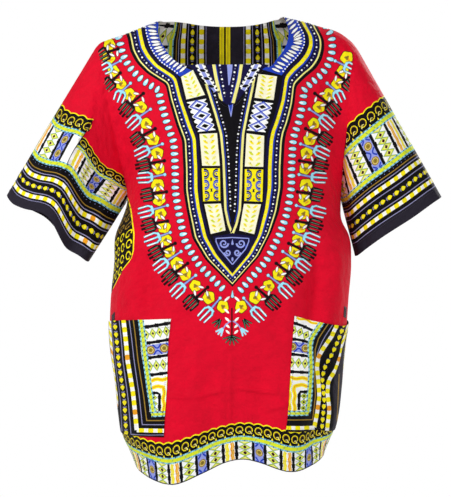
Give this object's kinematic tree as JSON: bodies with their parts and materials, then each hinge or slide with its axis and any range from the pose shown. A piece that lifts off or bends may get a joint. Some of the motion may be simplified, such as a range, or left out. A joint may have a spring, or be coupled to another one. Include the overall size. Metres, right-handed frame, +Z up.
{
  "type": "dashiki shirt",
  "caption": "Short-sleeved printed cotton dashiki shirt with a slit neck, two patch pockets and side vents, filled out as it is worn with no wearer.",
  "frame": {"origin": "midway between the neck ends of the two shoulder seams, at the height where the wearer's shoulders carry the shirt", "axes": "+Z up, the front of the shirt faces -Y, +X towards the right of someone who looks at the front"},
  "size_m": [0.7387, 0.2697, 0.7775],
  "materials": {
    "red_cotton": "matt printed cotton",
    "border_print": "matt printed cotton",
    "pocket_print": "matt printed cotton"
  },
  "bodies": {
    "root": {"front": "red_cotton", "back": "red_cotton", "sleeve_left": "border_print", "sleeve_right": "border_print", "pocket_left": "pocket_print", "pocket_right": "pocket_print", "neck_inset": "border_print"}
  },
  "joints": []
}
